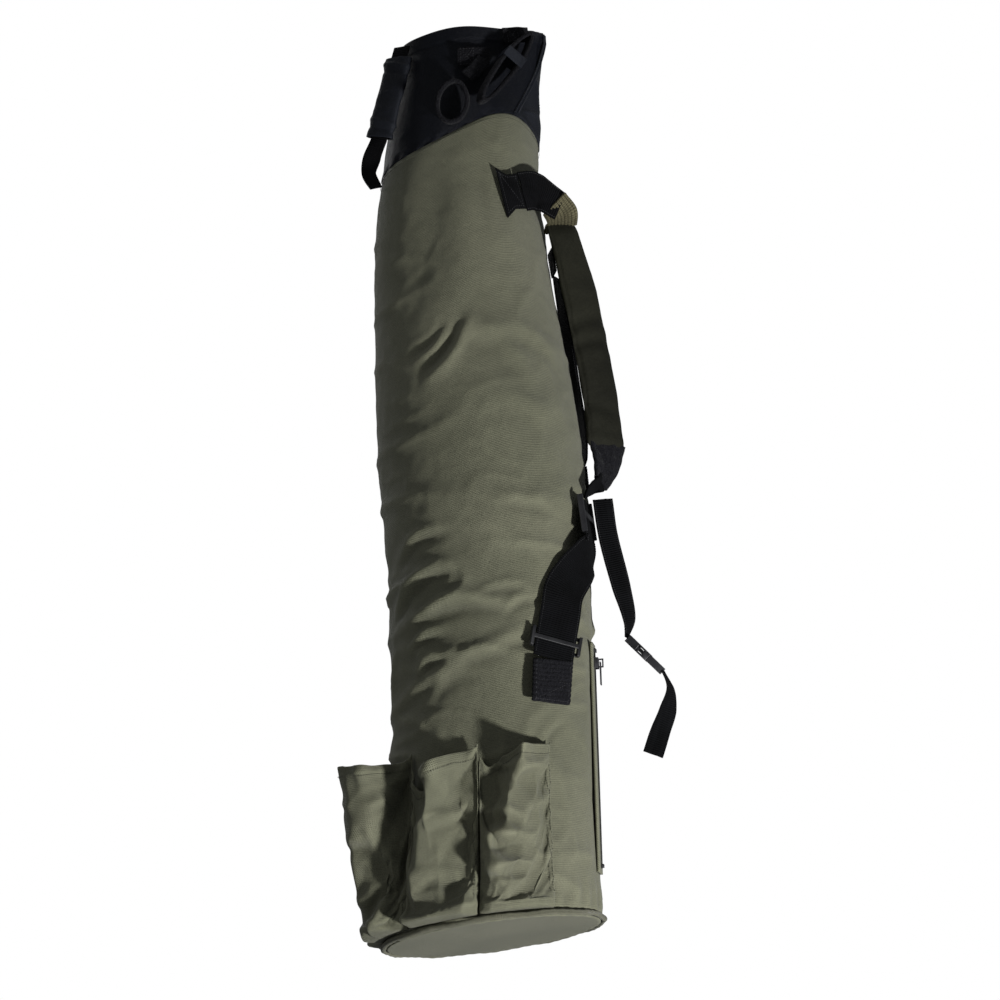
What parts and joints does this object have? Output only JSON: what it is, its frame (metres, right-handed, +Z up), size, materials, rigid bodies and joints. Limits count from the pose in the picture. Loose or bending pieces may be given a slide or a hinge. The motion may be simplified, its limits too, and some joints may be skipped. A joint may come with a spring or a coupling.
{
  "type": "rod and gear carry bag",
  "caption": "Tall round fabric carry bag with a nylon collar, butt pockets round the foot, a side zip, a padded shoulder strap, a carry handle and a buckled tail strap.",
  "frame": {"origin": "centre of the round base's lower face", "axes": "+Z up the bag, -Y the front with the pockets and rod straps, +X the side with the shoulder strap and the zip"},
  "size_m": [0.4102, 0.2906, 1.1176],
  "materials": {
    "olive_cloth": "coated plain weave, soft sheen",
    "olive_binding": "bias binding over piping cord",
    "navy_nylon": "coated nylon, low sheen",
    "black_webbing": "ribbed polypropylene webbing",
    "olive_webbing": "ribbed olive webbing",
    "hook_and_loop": "brushed hook and loop tape",
    "black_plastic": "moulded, satin",
    "dark_metal": "blackened",
    "board": "plain sheet",
    "foam": "closed-cell foam"
  },
  "bodies": {
    "bag": {"main_body": "olive_cloth", "base_disc": "olive_cloth", "base_board": "board", "base_piping": "olive_binding", "collar_front_panel": "navy_nylon", "collar_side_panel": "navy_nylon", "collar_seam_tape": "navy_nylon", "pocket_1": "olive_cloth", "pocket_2": "olive_cloth", "pocket_3": "olive_cloth", "pocket_4": "olive_cloth", "zip_tape": "black_webbing", "zip_chain": "black_plastic", "zip_bottom_stop": "dark_metal", "zip_top_stop": "dark_metal", "strap_anchor_patch": "black_webbing", "strap_adjuster": "black_plastic", "strap_wide_webbing": "black_webbing", "strap_anchor_tab": "black_webbing", "handle_patch_lower": "black_webbing", "handle_patch_upper": "black_webbing", "rod_patch_left": "hook_and_loop", "rod_tab_left": "hook_and_loop", "rod_patch_right": "hook_and_loop"},
    "shoulder_strap": {"strap_top_webbing": "black_webbing", "strap_ribbed_section": "olive_webbing", "pad_cover": "olive_cloth", "pad_foam": "foam", "pad_lower_tab": "olive_cloth", "strap_lower_webbing": "black_webbing"},
    "tail_strap": {"tail_webbing": "black_webbing", "buckle_socket": "black_plastic"},
    "plug": {"buckle_plug": "black_plastic"},
    "tail_end": {"tail_end_webbing": "black_webbing"},
    "triglide": {"lower_triglide": "black_plastic"},
    "slider": {"zip_slider": "dark_metal"},
    "pull": {"zip_pull": "dark_metal"},
    "handle": {"carry_handle": "black_webbing"},
    "left_loop": {"rod_loop_left": "hook_and_loop"},
    "right_loop": {"rod_loop_right": "hook_and_loop", "rod_keeper_right": "navy_nylon"},
    "grab": {"grab_webbing": "black_webbing", "grab_sleeve": "navy_nylon"}
  },
  "joints": [
    {"name": "shoulder_strap_swing", "type": "hinge", "parent": "bag", "child": "shoulder_strap", "pos_m": [0.158, -0.073, 0.888], "axis": [0.0655, 0.0551, -0.9963], "range_deg": [0, 75]},
    {"name": "tail_swing", "type": "hinge", "parent": "bag", "child": "tail_strap", "pos_m": [0.2, -0.046, 0.498], "axis": [0, -1, 0], "range_deg": [-3, 50]},
    {"name": "buckle_release", "type": "slide", "parent": "tail_strap", "child": "plug", "axis": [0.6111, 0.0359, -0.7908], "range_m": [0, 0.024]},
    {"name": "tail_end_swing", "type": "hinge", "parent": "plug", "child": "tail_end", "pos_m": [0.2417, -0.026, 0.2831], "axis": [0.1195, 0.9856, 0.1195], "range_deg": [-30, 30]},
    {"name": "triglide_slide", "type": "slide", "parent": "bag", "child": "triglide", "axis": [0.2849, 0.1306, 0.9496], "range_m": [0, 0.03]},
    {"name": "zip_slide", "type": "slide", "parent": "bag", "child": "slider", "axis": [-0.1058, -0.0009, -0.9944], "range_m": [0, 0.215]},
    {"name": "zip_pull_tilt", "type": "hinge", "parent": "slider", "child": "pull", "pos_m": [0.17003, -0.01783, 0.30586], "axis": [-0.1392, -0.9903, 0], "range_deg": [0, 150]},
    {"name": "carry_handle_swing", "type": "hinge", "parent": "bag", "child": "handle", "pos_m": [0.18837, 0.02146, 0.562], "axis": [0.0084, 0.0095, -0.9999], "range_deg": [0, 26]},
    {"name": "left_loop_hinge", "type": "hinge", "parent": "bag", "child": "left_loop", "pos_m": [0.095, -0.108, 1.027], "axis": [-0.944, 0, 0.33], "range_deg": [0, 60]},
    {"name": "right_loop_hinge", "type": "hinge", "parent": "bag", "child": "right_loop", "pos_m": [0.1924, -0.0835, 1.0836], "axis": [-0.6565, -0.372, 0.6563], "range_deg": [0, 70]},
    {"name": "grab_swing", "type": "hinge", "parent": "bag", "child": "grab", "pos_m": [0.036, -0.044, 1.106], "axis": [-0.3222, 0.1243, -0.9385], "range_deg": [0, 35]}
  ]
}
